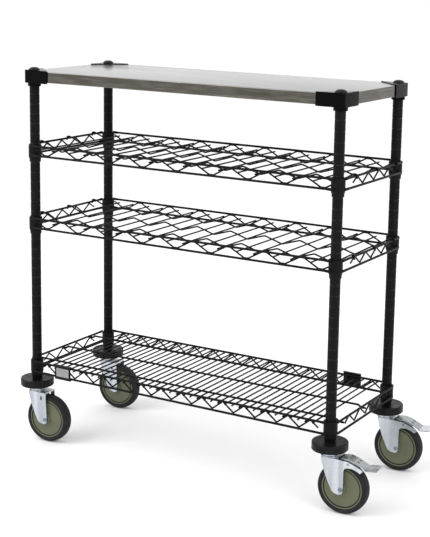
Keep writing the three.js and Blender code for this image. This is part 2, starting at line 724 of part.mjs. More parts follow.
place('work_top_pan', panGeometry(), shift(0, 0, 0), BRUSHED_STEEL);
place('cradle_shelf_upper', cradleShape, shift(0, 0, UPPER_Z), BLACK_POWDER_COAT);
place('cradle_shelf_lower', cradleShape, shift(0, 0, LOWER_Z), BLACK_POWDER_COAT);
place('base_wire_shelf', baseShelfGeometry(), shift(0, 0, BASE_Z), BLACK_POWDER_COAT);
place('tag_holder_front', tagShape, shift(TAG_FRONT_X, 0, BASE_Z), BLACK_PLASTIC);
place('tag_holder_back', tagShape, shift(TAG_BACK_X, 0, BASE_Z).multiply(halfTurn), BLACK_PLASTIC);

// The origin is on the floor, under the middle of the whole cart.
const bounds = new THREE.Box3().setFromObject(group);
const middle = bounds.getCenter(new THREE.Vector3());
for (const mesh of group.children) {
  mesh.geometry.translate(-middle.x, -middle.y, -bounds.min.z);
}

export default group;
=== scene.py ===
"""Looks of the rolling utility cart: round wires, grooved posts, steel, zinc casters and rubber."""

import math

import bmesh
import bpy
from mathutils import Matrix, Vector
from mathutils.geometry import tessellate_polygon


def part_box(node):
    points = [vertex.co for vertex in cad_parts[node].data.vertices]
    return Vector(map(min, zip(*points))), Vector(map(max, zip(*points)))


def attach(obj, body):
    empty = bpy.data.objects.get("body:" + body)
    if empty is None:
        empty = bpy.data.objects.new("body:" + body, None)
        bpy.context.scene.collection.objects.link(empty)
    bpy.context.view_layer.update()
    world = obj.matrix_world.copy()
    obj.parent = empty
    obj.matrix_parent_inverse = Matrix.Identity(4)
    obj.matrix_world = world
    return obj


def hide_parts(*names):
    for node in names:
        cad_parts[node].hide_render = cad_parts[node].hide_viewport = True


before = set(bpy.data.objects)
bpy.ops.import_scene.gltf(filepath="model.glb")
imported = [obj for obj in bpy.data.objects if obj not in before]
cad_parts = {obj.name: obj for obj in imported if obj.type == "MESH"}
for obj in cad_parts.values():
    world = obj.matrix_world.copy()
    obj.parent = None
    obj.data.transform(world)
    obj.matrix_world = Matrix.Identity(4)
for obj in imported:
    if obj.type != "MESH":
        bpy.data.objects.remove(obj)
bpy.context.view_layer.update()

MM = 0.001

# ---------------------------------------------------------------- sizes, in millimetres

POST_RADIUS = 12.7
POST_BORE = 11.2
GROOVE_PITCH = 25.4
GROOVE_DEPTH = 0.6
GROOVE_HALF = 1.35  # half the width of a ring groove at the surface
GROOVE_FLOOR = 0.55  # half its width at the bottom
GROOVE_FROM_TOP = 10.7
RIM = 2.95  # radius of the rim wires
TRUSS = 2.1  # radius of the zigzags and waves
MAT = 2.05  # radius of the mat wires and rails
LENGTHWISE = 2.7  # radius of the lengthwise wires of the base shelf
WELD = 0.4  # depth to which two welded wires sink into each other
WRAP_SINK = 0.3  # the same where a wire wraps over a rim wire
RIM_OFFSET = 18.5
TRUSS_INSET = 4.1
TRUSS_PITCH = 60.3
BASE_DROP = 27.5
CRADLE_DROP = 24.5
STUB_DROP = 6
MAT_COUNT = 20
MAT_INSETS = (-139, -19, 103)
CRADLE_PITCH = 99.6
CRADLE_SHIFT = 9
CRADLE_SIDE_COUNT = 4
CRADLE_FLAT = 6
CRADLE_INNER_Y = (-110, 4, 116)
INNER_TOP = -5.6  # the inner waves are shallower than the outer ones
INNER_LOW = -19.6
COLLAR_BELOW = 34
COLLAR_RADIUS = 16.9
COLLAR_BORE = 15.15
SLEEVE_BELOW = 43  # from the shelf level to the foot of a sleeve
TOP_SLEEVE_BELOW = 35  # the corner collars hide the lower ends of the top sleeves
CORNER_EDGE = 18.5
CORNER_ROUND = 5
CORNER_REACH = 55
CORNER_WALL = 2.2
PAN_EDGE = 16
PAN_NOTCH = 19
PAN_HEIGHT = 28
CASTER_YAW = 4
TRAIL = 38
TYRE_RADIUS = 63.1
FORK_INNER = 19.5
FORK_OUTER = 22

CORNERS = {"front_left": (-1, -1), "front_right": (1, -1), "back_left": (-1, 1), "back_right": (1, 1)}
BRAKED = ("front_right", "back_right")

# ---------------------------------------------------------------- places, from the frame


def low_of(node):
    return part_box(node)[0] / MM


def high_of(node):
    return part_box(node)[1] / MM


def middle_of(node):
    return (low_of(node) + high_of(node)) / 2


posts = {corner: middle_of(f"post_{corner}") for corner in CORNERS}
home = sum(posts.values(), Vector()) / 4
home.z = 0
POST_X = (posts["front_right"].x - posts["front_left"].x) / 2
POST_Y = (posts["back_left"].y - posts["front_left"].y) / 2
POST_FOOT = low_of("post_front_left").z
POST_TOP = high_of("post_front_left").z
TOP_Z = high_of("work_top_pan").z
AXLE_Z = middle_of("caster_axle_front_left").z
LEVELS = {
    "base": low_of("base_wire_shelf").z + COLLAR_BELOW,
    "lower": low_of("cradle_shelf_lower").z + COLLAR_BELOW,
    "upper": low_of("cradle_shelf_upper").z + COLLAR_BELOW,
    "top": TOP_Z,
}
RIM_X = POST_X + RIM_OFFSET
RIM_Y = POST_Y + RIM_OFFSET


def at(x, y, z):
    return Matrix.Translation(Vector((x, y, z)))


def at_post(corner):
    return at(posts[corner].x, posts[corner].y, 0)


def at_caster(corner):
    return at_post(corner) @ Matrix.Rotation(math.radians(CASTER_YAW), 4, "Z")


# ---------------------------------------------------------------- shape builders

STRAIGHT = 1.57  # half angle above which a corner needs no rounding
LONGEST_EASE = 0.48  # share of a side that a rounded corner may take


def bent(path, radius, steps=4):
    """Rounds the inner corners of an open path."""
    points = [Vector(p) for p in path]
    made = [points[0]]
    for a, b, c in zip(points, points[1:], points[2:]):
        into, away = a - b, c - b
        half = into.angle(away) / 2
        tangent = radius / math.tan(half) if half < STRAIGHT else 0
        reach = min(tangent, LONGEST_EASE * into.length, LONGEST_EASE * away.length)
        if reach < 1e-3:
            made.append(b)
            continue
        start = b + into.normalized() * reach
        end = b + away.normalized() * reach
        for step in range(steps + 1):
            t = step / steps
            made.append(start * (1 - t) ** 2 + b * 2 * t * (1 - t) + end * t * t)
    made.append(points[-1])
    return made


def rounded(outline, radius, steps=4):
    """Rounds every corner of a closed outline of (u, v)."""
    ring = [Vector((u, v, 0)) for u, v in outline]
    middle = (ring[-1] + ring[0]) / 2
    path = bent([middle, *ring, middle], radius, steps)[:-1]
    return [(p.x, p.y) for p in path]


def sweep(path, radius, sides=10, ends=None):
    """Round wire along a path. ends gives (length, across, up) factors that flatten its two ends."""
    points = [Vector(p) for p in path]
    lengths = [0]
    for a, b in zip(points, points[1:]):
        lengths.append(lengths[-1] + (b - a).length)
    first = (points[1] - points[0]).normalized()
    across = Vector((0, 0, 1)) if abs(first.z) < 0.9 else Vector((0, 1, 0))
    verts, faces = [], []
    for i, point in enumerate(points):
        ahead = points[min(i + 1, len(points) - 1)]
        behind = points[max(i - 1, 0)]
        along = (ahead - behind).normalized()
        across = (across - along * across.dot(along)).normalized()
        other = along.cross(across)
        tall, wide = 1, 1
        if ends and min(lengths[i], lengths[-1] - lengths[i]) < ends[0]:
            tall, wide = ends[2], ends[1]
        for k in range(sides):
            turn = 2 * math.pi * k / sides
            up, aside = radius * tall * math.cos(turn), radius * wide * math.sin(turn)
            verts.append(point + across * up + other * aside)
    for i in range(len(points) - 1):
        for k in range(sides):
            a, b = i * sides + k, i * sides + (k + 1) % sides
            faces.append([a, b, b + sides, a + sides])
    faces.append(list(range(sides)))
    faces.append(list(range(len(verts) - sides, len(verts)))[::-1])
    return verts, faces


def lathe(profile, sides=48, closed=False):
    """Body turned about Z from (radius, z) points; closed joins the last point to the first."""
    verts, rings, faces = [], [], []
    for radius, z in profile:
        if radius < 1e-6:
            rings.append([len(verts)] * sides)
            verts.append(Vector((0, 0, z)))
            continue
        rings.append(list(range(len(verts), len(verts) + sides)))
        for k in range(sides):
            turn = 2 * math.pi * k / sides
            verts.append(Vector((radius * math.cos(turn), radius * math.sin(turn), z)))
    pairs = list(zip(rings, rings[1:]))
    if closed:
        pairs.append((rings[-1], rings[0]))
    for low, high in pairs:
        for k in range(sides):
            n = (k + 1) % sides
            face = list(dict.fromkeys([low[k], low[n], high[n], high[k]]))
            if len(face) > 2:
                faces.append(face)
    return verts, faces


def turned(profile, radius=0.8, sides=48, closed=False):
    """Lathe whose profile has its corners eased."""
    path = [Vector((r, z, 0)) for r, z in profile]
    if closed:
        middle = (path[-1] + path[0]) / 2
        eased = bent([middle, *path, middle], radius, 3)[:-1]
    else:
        eased = bent(path, radius, 3)
    return lathe([(p.x, p.y) for p in eased], sides, closed)


def slab(outline, low, high, holes=()):
    """Flat plate with an outline of (u, v) and a thickness along w."""
    loops = [list(outline), *[list(h) for h in holes]]
    triangles = tessellate_polygon([[Vector((u, v, 0)) for u, v in loop] for loop in loops])
    points = [p for loop in loops for p in loop]
    count = len(points)
    verts = [Vector((u, v, w)) for w in (low, high) for u, v in points]
    faces = [list(t) for t in triangles] + [[i + count for i in t] for t in triangles]
    start = 0
    for loop in loops:
        for i in range(len(loop)):
            a, b = start + i, start + (i + 1) % len(loop)
            faces.append([a, b, b + count, a + count])
        start += len(loop)
    return verts, faces


def circle(u, v, radius, sides=20):
    turns = [2 * math.pi * k / sides for k in range(sides)]
    return [(u + radius * math.cos(t), v + radius * math.sin(t)) for t in turns]


def ribbon(path, thick, low, high, bend=4):
    """Sheet of constant thickness that follows a path of (u, v), wide along w."""
    points = bent([Vector((u, v, 0)) for u, v in path], bend)
    left, right = [], []
    for i, point in enumerate(points):
        ahead = points[min(i + 1, len(points) - 1)]
        behind = points[max(i - 1, 0)]
        along = (ahead - behind).normalized()
        side = Vector((-along.y, along.x, 0)) * thick / 2
        left.append(point + side)
        right.append(point - side)
    return slab([(p.x, p.y) for p in left + right[::-1]], low, high)


UPRIGHT = Matrix(((1, 0, 0, 0), (0, 0, 1, 0), (0, 1, 0, 0), (0, 0, 0, 1)))  # (u, v, w) to (x, z, y)
ON_AXLE = at(TRAIL, 0, AXLE_Z) @ Matrix.Rotation(math.pi / 2, 4, "X")


class Shape:
    """Vertices and faces of one piece, each face with the number of its material."""

    def __init__(self):
        self.verts, self.faces, self.looks = [], [], []

    def add(self, part, place=None, look=0):
        verts, faces = part
        start = len(self.verts)
        self.verts += [place @ v if place else v for v in verts]
        self.faces += [[start + i for i in face] for face in faces]
        self.looks += [look] * len(faces)
        return self


def piece(name, shape, materials, body, stands_for, slot, crease=32, bevel=0.0):
    mesh = bpy.data.meshes.new(name)
    mesh.from_pydata([v * MM for v in shape.verts], [], shape.faces)
    for look in materials:
        mesh.materials.append(look)
    mesh.polygons.foreach_set("material_index", shape.looks)
    bm = bmesh.new()
    bm.from_mesh(mesh)
    bmesh.ops.recalc_face_normals(bm, faces=bm.faces)
    if bevel:
        bmesh.ops.dissolve_limit(bm, angle_limit=0.01, verts=bm.verts, edges=bm.edges)
    bm.to_mesh(mesh)
    bm.free()
    mesh.shade_smooth()
    mesh.set_sharp_from_angle(angle=math.radians(crease))
    obj = bpy.data.objects.new(name, mesh)
    bpy.context.scene.collection.objects.link(obj)
    if bevel:
        edge = obj.modifiers.new("Eased edges", "BEVEL")
        edge.width = bevel * MM
        edge.segments = 2
        edge.limit_method = "ANGLE"
        edge.angle_limit = math.radians(40)
        edge.harden_normals = True
    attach(obj, body)
    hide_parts(*stands_for)
    return obj


# ---------------------------------------------------------------- materials


class Look:
    """Node material on a Principled shader, with its pattern in object coordinates."""

    def __init__(self, name, metallic=0.0, specular=0.5, coat=0.0):
        self.material = bpy.data.materials.new(name)
        self.material.use_nodes = True
        self.tree = self.material.node_tree
        self.shader = self.tree.nodes["Principled BSDF"]
        self.shader.inputs["Metallic"].default_value = metallic
        self.shader.inputs["Specular IOR Level"].default_value = specular
        self.shader.inputs["Coat Weight"].default_value = coat
        self.shader.inputs["Coat Roughness"].default_value = 0.12
        self.coords = self.tree.nodes.new("ShaderNodeTexCoord")
        self.normal = None

    def link(self, output, target):
        self.tree.links.new(output, target)

    def stretched(self, scale):
        mapping = self.tree.nodes.new("ShaderNodeMapping")
        mapping.inputs["Scale"].default_value = scale
        self.link(self.coords.outputs["Object"], mapping.inputs["Vector"])
        return mapping.outputs["Vector"]

    def noise(self, scale, detail=3.0, stretch=(1, 1, 1), rough=0.5):
        node = self.tree.nodes.new("ShaderNodeTexNoise")
        node.inputs["Scale"].default_value = scale
        node.inputs["Detail"].default_value = detail
        node.inputs["Roughness"].default_value = rough
        self.link(self.stretched(stretch), node.inputs["Vector"])
        return node.outputs["Fac"]

    def ramp(self, value, stops):
        node = self.tree.nodes.new("ShaderNodeValToRGB")
        ramp = node.color_ramp
        ramp.elements[0].position, ramp.elements[0].color = stops[0][0], (*stops[0][1], 1)
        ramp.elements[1].position, ramp.elements[1].color = stops[-1][0], (*stops[-1][1], 1)
        for place, colour in stops[1:-1]:
            ramp.elements.new(place).color = (*colour, 1)
        self.link(value, node.inputs["Fac"])
        return node.outputs["Color"]

    def between(self, value, low, high, start=0.3, end=0.7):
        node = self.tree.nodes.new("ShaderNodeMapRange")
        node.inputs["From Min"].default_value = start
        node.inputs["From Max"].default_value = end
        node.inputs["To Min"].default_value = low
        node.inputs["To Max"].default_value = high
        self.link(value, node.inputs["Value"])
        return node.outputs["Result"]

    def mixed(self, amount, a, b):
        node = self.tree.nodes.new("ShaderNodeMix")
        node.data_type = "RGBA"
        self.link(amount, node.inputs["Factor"])
        self.link(a, node.inputs["A"])
        self.link(b, node.inputs["B"])
        return node.outputs["Result"]

    def maths(self, operation, a, b=0.0):
        node = self.tree.nodes.new("ShaderNodeMath")
        node.operation = operation
        for value, socket in ((a, node.inputs[0]), (b, node.inputs[1])):
            if isinstance(value, (int, float)):
                socket.default_value = value
            else:
                self.link(value, socket)
        return node.outputs["Value"]

    def axis(self, name, source="Object"):
        node = self.tree.nodes.new("ShaderNodeSeparateXYZ")
        self.link(self.coords.outputs[source], node.inputs["Vector"])
        return node.outputs[name]

    def colour(self, output):
        self.link(output, self.shader.inputs["Base Color"])
        return self

    def rough(self, output):
        self.link(output, self.shader.inputs["Roughness"])
        return self

    def bump(self, height, strength, distance):
        node = self.tree.nodes.new("ShaderNodeBump")
        node.inputs["Strength"].default_value = strength
        node.inputs["Distance"].default_value = distance * MM
        self.link(height, node.inputs["Height"])
        if self.normal:
            self.link(self.normal, node.inputs["Normal"])
        self.normal = node.outputs["Normal"]
        self.link(self.normal, self.shader.inputs["Normal"])
        return self


def grey(value, tint=(1, 1, 1)):
    return tuple(value * t for t in tint)


def powder_coat():
    look = Look("black_powder_coat", specular=0.09)
    mottle = look.noise(24)
    look.colour(look.ramp(mottle, [(0.3, grey(0.0026)), (0.6, grey(0.004)), (0.85, grey(0.007))]))
    look.rough(look.between(look.noise(60), 0.36, 0.5))
    look.bump(look.noise(900, 2), 0.12, 0.06)
    return look.material


def grooved_coat():
    look = Look("black_post_coat", specular=0.09)
    height = look.axis("Z")
    from_top = look.maths("SUBTRACT", (POST_TOP - GROOVE_FROM_TOP + GROOVE_PITCH / 2) * MM, height)
    share = look.maths("FRACT", look.maths("DIVIDE", from_top, GROOVE_PITCH * MM))
    distance = look.maths("ABSOLUTE", look.maths("SUBTRACT", share, 0.5))
    # The light rings at the grooves are a painted highlight on the groove bevels, mixed into the colour.
    ring = look.between(distance, 1.0, 0.0, 0.02, 0.07)
    plain = look.ramp(look.noise(18), [(0.3, grey(0.0024)), (0.75, grey(0.0045))])
    painted_groove_highlight = look.ramp(look.noise(130), [(0.4, grey(0.005)), (0.75, grey(0.028))])
    look.colour(look.mixed(ring, plain, painted_groove_highlight))
    look.rough(look.between(look.noise(60), 0.34, 0.48))
    look.bump(look.noise(900, 2), 0.12, 0.06)
    return look.material


def moulded_black(name, tone, rough, specular, grain=0.05):
    look = Look(name, specular=specular)
    look.colour(look.ramp(look.noise(35), [(0.3, grey(tone)), (0.75, grey(1.6 * tone))]))
    look.rough(look.between(look.noise(90), rough - 0.06, rough + 0.08))
    look.bump(look.noise(1500, 2), 0.1, grain)
    return look.material


def brushed_steel():
    look = Look("brushed_steel", metallic=1.0)
    lines = look.noise(260, 4, (0.05, 1, 1), 0.7)
    broad = look.noise(3, 2, (0.5, 1, 1))
    # Painted shade: by the surface normal, the upright faces get a darker, browner copy of the steel colour
    # than the top.
    top = look.ramp(lines, [(0.25, grey(0.15, (1, 1, 1.06))), (0.75, grey(0.2, (1, 1, 1.07)))])
    upright_lines = look.noise(150, 4, (0.08, 0.08, 1), 0.7)
    side = look.ramp(
        upright_lines,
        [
            (0.25, grey(0.07, (1, 0.92, 0.78))),
            (0.5, grey(0.11, (1, 0.93, 0.8))),
            (0.75, grey(0.19, (1, 0.96, 0.88))),
        ],
    )
    facing_up = look.axis("Z", "Normal")
    look.colour(look.mixed(look.between(facing_up, 0.0, 1.0, 0.15, 0.75), side, top))
    grain = look.maths("ADD", look.maths("MULTIPLY", lines, 0.7), look.maths("MULTIPLY", broad, 0.3))
    look.rough(look.between(grain, 0.13, 0.24))
    look.bump(lines, 0.06, 0.05)
    return look.material


def zinc(name, tone, tint, rough):
    look = Look(name, metallic=1.0)
    spangle = look.noise(55, 3)
    streaks = look.noise(120, 3, (1, 1, 0.12), 0.6)
    plate = look.ramp(
        spangle, [(0.25, grey(0.86 * tone, tint)), (0.55, grey(tone, tint)), (0.8, grey(1.08 * tone, tint))]
    )
    dull = look.ramp(streaks, [(0.3, grey(0.8 * tone, tint)), (0.7, grey(tone, tint))])
    # Soft vertical bands, darker and warmer in turn: painted reflection in the zinc colour.
    painted_reflection_bands = look.ramp(
        look.noise(38, 1, (1, 1, 0.06)),
        [
            (0.38, grey(0.55 * tone, tint)),
            (0.5, grey(tone, tint)),
            (0.62, grey(1.12 * tone, (1, 1, 0.97))),
        ],
    )
    mottled = look.mixed(look.between(look.noise(14), 0.0, 0.6), plate, dull)
    look.colour(look.mixed(look.between(look.noise(9), 0.3, 0.75), mottled, painted_reflection_bands))
    look.rough(look.between(look.noise(70), rough - 0.05, rough + 0.09))
    look.bump(look.noise(420, 2), 0.12, 0.05)
    return look.material


def nylon(name, tone):
    look = Look(name, specular=0.18)
    tint = (1, 1.04, 0.68)
    low, high = grey(0.9 * tone, tint), grey(1.1 * tone, tint)
    look.colour(look.ramp(look.noise(30), [(0.3, low), (0.7, high)]))
    look.rough(look.between(look.noise(120), 0.4, 0.55))
    look.bump(look.noise(800, 2), 0.12, 0.05)
    return look.material


def tread():
    look = Look("tread_rubber", specular=0.14)
    tint = (1, 0.9, 1.08)
    stops = [(0.3, grey(0.011, tint)), (0.6, grey(0.016, tint)), (0.85, grey(0.026, tint))]
    look.colour(look.ramp(look.noise(45, 5), stops))
    look.rough(look.between(look.noise(80), 0.55, 0.75))
    look.bump(look.noise(600, 3), 0.25, 0.12)
    return look.material


def bumper_rubber():
    look = Look("bumper_rubber", specular=0.14)
    scuffs = look.noise(60, 6, (1, 1, 1), 0.65)
    look.colour(look.ramp(scuffs, [(0.35, grey(0.002)), (0.6, grey(0.0045)), (0.78, grey(0.03))]))
    look.rough(look.between(look.noise(140, 4), 0.26, 0.5))
    look.bump(look.noise(350, 4), 0.3, 0.15)
    return look.material


def paper():
    look = Look("blank_label", specular=0.3)
    look.colour(look.ramp(look.noise(200, 4), [(0.3, grey(0.2)), (0.7, grey(0.27))]))
    look.rough(look.between(look.noise(60), 0.45, 0.6))
    look.bump(look.noise(1200, 2), 0.1, 0.03)
    return look.material


COAT = powder_coat()
POST_COAT = grooved_coat()
CORNER_BLACK = moulded_black("glossy_black_corner", 0.0009, 0.2, 0.06)
CAP_BLACK = moulded_black("black_cap", 0.004, 0.34, 0.2)
SLEEVE_BLACK = moulded_black("black_sleeve", 0.003, 0.4, 0.1)
TAG_BLACK = moulded_black("black_tag_holder", 0.003, 0.36, 0.12)
STEEL = brushed_steel()
ZINC = zinc("bright_zinc", 0.6, (0.93, 0.99, 1.07), 0.28)
PEDAL_ZINC = zinc("stamped_zinc", 0.36, (0.92, 1.0, 1.04), 0.26)
AXLE_ZINC = zinc("blue_zinc_axle", 0.3, (0.8, 0.97, 1.2), 0.35)
# Near-black material for the middles of the pedal dimples: painted shade in the recesses.
PAINTED_RECESS_SHADE = moulded_black("painted_recess_shade", 0.004, 0.6, 0.1)
HUB = nylon("olive_nylon", 0.108)
# A much darker copy of the nylon for the hub groove: painted shade.
HUB_GROOVE_SHADE = nylon("olive_nylon_painted_groove_shade", 0.012)
TREAD = tread()
BUMPER = bumper_rubber()
LABEL = paper()

# ---------------------------------------------------------------- posts, caps and sleeves


def post_shape():
    profile = [(POST_BORE, POST_FOOT), (POST_RADIUS - 0.5, POST_FOOT), (POST_RADIUS, POST_FOOT + 0.6)]
    count = int((POST_TOP - POST_FOOT - GROOVE_FROM_TOP) / GROOVE_PITCH)
    for k in range(count, -1, -1):
        z = POST_TOP - GROOVE_FROM_TOP - k * GROOVE_PITCH
        if z < POST_FOOT + 3:
            continue
        profile += [(POST_RADIUS, z - GROOVE_HALF), (POST_RADIUS - GROOVE_DEPTH, z - GROOVE_FLOOR)]
        profile += [(POST_RADIUS - GROOVE_DEPTH, z + GROOVE_FLOOR), (POST_RADIUS, z + GROOVE_HALF)]
    profile += [(POST_RADIUS, POST_TOP), (POST_BORE, POST_TOP)]
    return Shape().add(lathe(profile, 56, closed=True))


def cap_shape(foot):
    dome = [(0, foot + 7.5), (4.5, foot + 7.2), (8.6, foot + 6.2), (12, foot + 4.3), (13.9, foot + 1.8)]
    plug = [(14.1, foot + 0.2), (13.2, foot), (10.9, foot), (10.9, foot - 11), (0, foot - 11)]
    return Shape().add(turned(dome + plug, 1.2))


def sleeve_shape(z, below):
    """Split sleeve with a lead-in at its foot; the slit faces along the shelf."""
    sides, slit = 60, 0.055
    profile = [
        (13, z - below), (14.2, z - below), (14.8, z + 1 - below), (14.8, z + 5 - below),
        (14.2, z + 2.5), (13, z + 2.5),
    ]
    verts, faces = [], []
    turns = [slit + (2 * math.pi - 2 * slit) * k / sides for k in range(sides + 1)]
    for turn in turns:
        verts += [Vector((r * math.cos(turn), r * math.sin(turn), h)) for r, h in profile]
    step = len(profile)
    for k in range(sides):
        for i in range(step):
            a, b = k * step + i, k * step + (i + 1) % step
            faces.append([a, b, b + step, a + step])
    faces.append(list(range(step)))
    faces.append(list(range(sides * step, (sides + 1) * step)))
    return Shape().add((verts, faces))


def collar(x, y):
    low, wall = -COLLAR_BELOW, COLLAR_RADIUS
    profile = [
        (COLLAR_BORE, low), (wall - 0.9, low), (wall - 0.7, low + 2.6), (wall, low + 4.4),
        (wall, 0.6), (wall - 0.6, 1.5), (COLLAR_BORE, 1.5),
    ]
    verts, faces = turned(profile, 0.6, 48, closed=True)
    return [v + Vector((x, y, 0)) for v in verts], faces


# ---------------------------------------------------------------- wire shelves


def rim_wires(shape, drop):
    flat = (12, 0.55, 1.25)
    for side in (-1, 1):
        for z in (0, -drop):
            along, around = POST_X - 2, POST_Y - 2
            xs = [-along, -along + 11, -along + 18, along - 18, along - 11, along]
            ys = [-around, -around + 11, -around + 18, around - 18, around - 11, around]
            shape.add(sweep([(x, side * RIM_Y, z) for x in xs], RIM, 12, flat))
            shape.add(sweep([(side * RIM_X, y, z) for y in ys], RIM, 12, flat))
        for y in (-POST_Y, POST_Y):
            shape.add(collar(side * POST_X, y))


def zigzag(valleys, drop):
    top, low = -TRUSS, TRUSS - drop
    path = [(-(valleys + 0.85) * TRUSS_PITCH, low + 0.3 * drop)]
    for k in range(-valleys, valleys + 1):
        path += [((k - 0.5) * TRUSS_PITCH, top), (k * TRUSS_PITCH, low)]
    path.append(((valleys + 0.5) * TRUSS_PITCH, top))
    path.append(((valleys + 0.85) * TRUSS_PITCH, low + 0.3 * drop))
    return path


def wire_along_x(path, radius, y, bend=5):
    return sweep(bent([(x, y, z) for x, z in path], bend), radius)


def wire_along_y(path, radius, x, bend=5):
    return sweep(bent([(x, y, z) for y, z in path], bend), radius)


def base_shelf():
    shape = Shape()
    rim_wires(shape, BASE_DROP)
    for side in (-1, 1):
        shape.add(wire_along_x(zigzag(6, BASE_DROP), TRUSS, side * (RIM_Y - TRUSS_INSET)))
        shape.add(wire_along_y(zigzag(1, BASE_DROP), TRUSS, side * (RIM_X - TRUSS_INSET)))
    run, dip = 0.4, -4.9  # over the mat, and below the side rim wires
    half = [(RIM_X - 14, run), (RIM_X - 6, dip), (RIM_X + 6, dip)]
    ends = [(-x, z) for x, z in reversed(half)]
    for y in MAT_INSETS:
        shape.add(wire_along_x(ends + half, LENGTHWISE, y, 6))
    under, end = WELD - RIM - MAT, RIM_Y + RIM + 0.9
    mat = [(-end, under - 0.7), (6 - end, under), (end - 6, under), (end, under - 0.7)]
    for k in range(-MAT_COUNT, MAT_COUNT + 1):
        shape.add(wire_along_y(mat, MAT, k * TRUSS_PITCH / 3, 3.2))
    return shape


def cradle_wave(top, low, flat):
    path = []
    for k in range(-CRADLE_SIDE_COUNT, CRADLE_SIDE_COUNT + 1):
        valley = CRADLE_SHIFT + k * CRADLE_PITCH
        peak = valley + CRADLE_PITCH / 2
        path += [(valley - flat, low), (valley + flat, low)]
        path += [(peak - flat, top), (peak + flat, top)]
    return path[:-2]


def cradle_shelf():
    shape = Shape()
    rim_wires(shape, CRADLE_DROP)
    slope = (CRADLE_DROP - 2 * TRUSS) / (CRADLE_PITCH / 2 - 2 * CRADLE_FLAT)
    for side in (-1, 1):
        shape.add(wire_along_y(zigzag(1, CRADLE_DROP), TRUSS, side * (RIM_X - TRUSS_INSET)))
    wave = cradle_wave(-TRUSS, TRUSS - CRADLE_DROP, CRADLE_FLAT)
    end = POST_X - 12
    left = (-end, wave[0][1] + slope * (end + wave[0][0]))
    right = (end, wave[-1][1] + slope * (end - wave[-1][0]))
    for side in (-1, 1):
        shape.add(wire_along_x([left, *wave, right], TRUSS, side * (RIM_Y - TRUSS_INSET), 5))
    over = RIM + TRUSS - WRAP_SINK
    wrap = RIM_X + RIM + TRUSS - WRAP_SINK
    inner = [(-wrap, -STUB_DROP), (-wrap, over), (-RIM_X + 4, over)]
    inner += cradle_wave(INNER_TOP, INNER_LOW, 2)
    inner += [(RIM_X - 4, over), (wrap, over), (wrap, -STUB_DROP)]
    for y in CRADLE_INNER_Y:
        shape.add(wire_along_x(inner, TRUSS, y, 6))
    tilt = math.atan(slope)
    lift = TRUSS + MAT - WELD
    reach = RIM_Y + 1.5
    for k in range(-CRADLE_SIDE_COUNT, CRADLE_SIDE_COUNT + 1):
        for side in (-1, 1):
            x = CRADLE_SHIFT + k * CRADLE_PITCH + side * CRADLE_PITCH / 4
            if abs(x) > POST_X - COLLAR_RADIUS - 3.4:
                continue
            x -= side * lift * math.sin(tilt)
            z = lift * math.cos(tilt) - CRADLE_DROP / 2
            shape.add(sweep([(x, -reach, z), (x, 0, z), (x, reach, z)], MAT))
    return shape


def tag_shape():
    """Label holder in front of the truss, with a raised frame round a blank label."""
    face, height = RIM_Y + RIM + 2 * MAT + 0.4, 35
    top = 6.0
    middle = top - height / 2 - 0.6
    shape = Shape()

    def panel(left, right, half, radius):
        low, high = middle - half, middle + half
        return rounded([(left, low), (right, low), (right, high), (left, high)], radius)

    plate = panel(-25, 25, 18, 1.5)
    window = panel(-21, 20, 12, 1)
    shape.add(slab(plate, -face - 1.2, -face + 0.4), UPRIGHT)
    shape.add(slab(plate, -face - 2.2, -face - 1.1, [window]), UPRIGHT)
    label = panel(-20.5, 19.5, 11.5, 0.6)
    shape.add(slab(label, -face - 1.5, -face - 1.1), UPRIGHT, 1)
    for z in (top + 0.2, middle - 18):
        hook = rounded([(-25, -face - 2), (25, -face - 2), (25, -face + 5), (-25, -face + 5)], 1)
        shape.add(slab(hook, z - 0.9, z + 0.9))
    return shape


# ---------------------------------------------------------------- work top


def notched(edge, notch):
    x, y = POST_X + edge, POST_Y + edge
    u, v = POST_X - notch, POST_Y - notch
    right = [(u, -y), (u, -v), (x, -v), (x, v), (u, v), (u, y)]
    left = [(-u, y), (-u, v), (-x, v), (-x, -v), (-u, -v)]
    return [(-u, -y), *right, *left]


def pan_shape():
    """Folded sheet: each (inset, drop) is a ring round the pan, from the flat top to the lip beneath."""
    fold = [(2.4, 0), (1.5, 0.12), (0.7, 0.55), (0.15, 1.3), (0, 2.3)]
    foot = [(0, PAN_HEIGHT - 2.3), (0.15, PAN_HEIGHT - 1.1), (0.8, PAN_HEIGHT - 0.3), (1.8, PAN_HEIGHT)]
    lip = [(12, PAN_HEIGHT), (12, PAN_HEIGHT - 1.2), (1.2, PAN_HEIGHT - 1.2), (1.2, 1.2)]
    rings = [(notched(PAN_EDGE - d, PAN_NOTCH + d), TOP_Z - drop) for d, drop in fold + foot + lip]
    count = len(rings[0][0])
    verts = [Vector((x, y, z)) for outline, z in rings for x, y in outline]
    faces = []
    for k in range(len(rings) - 1):
        for i in range(count):
            a, b = k * count + i, k * count + (i + 1) % count
            faces.append([a, b, b + count, a + count])
    for k in (0, len(rings) - 1):
        outline = [verts[k * count + i] for i in range(count)]
        faces += [[k * count + i for i in t] for t in tessellate_polygon([outline])]
    return Shape().add((verts, faces))


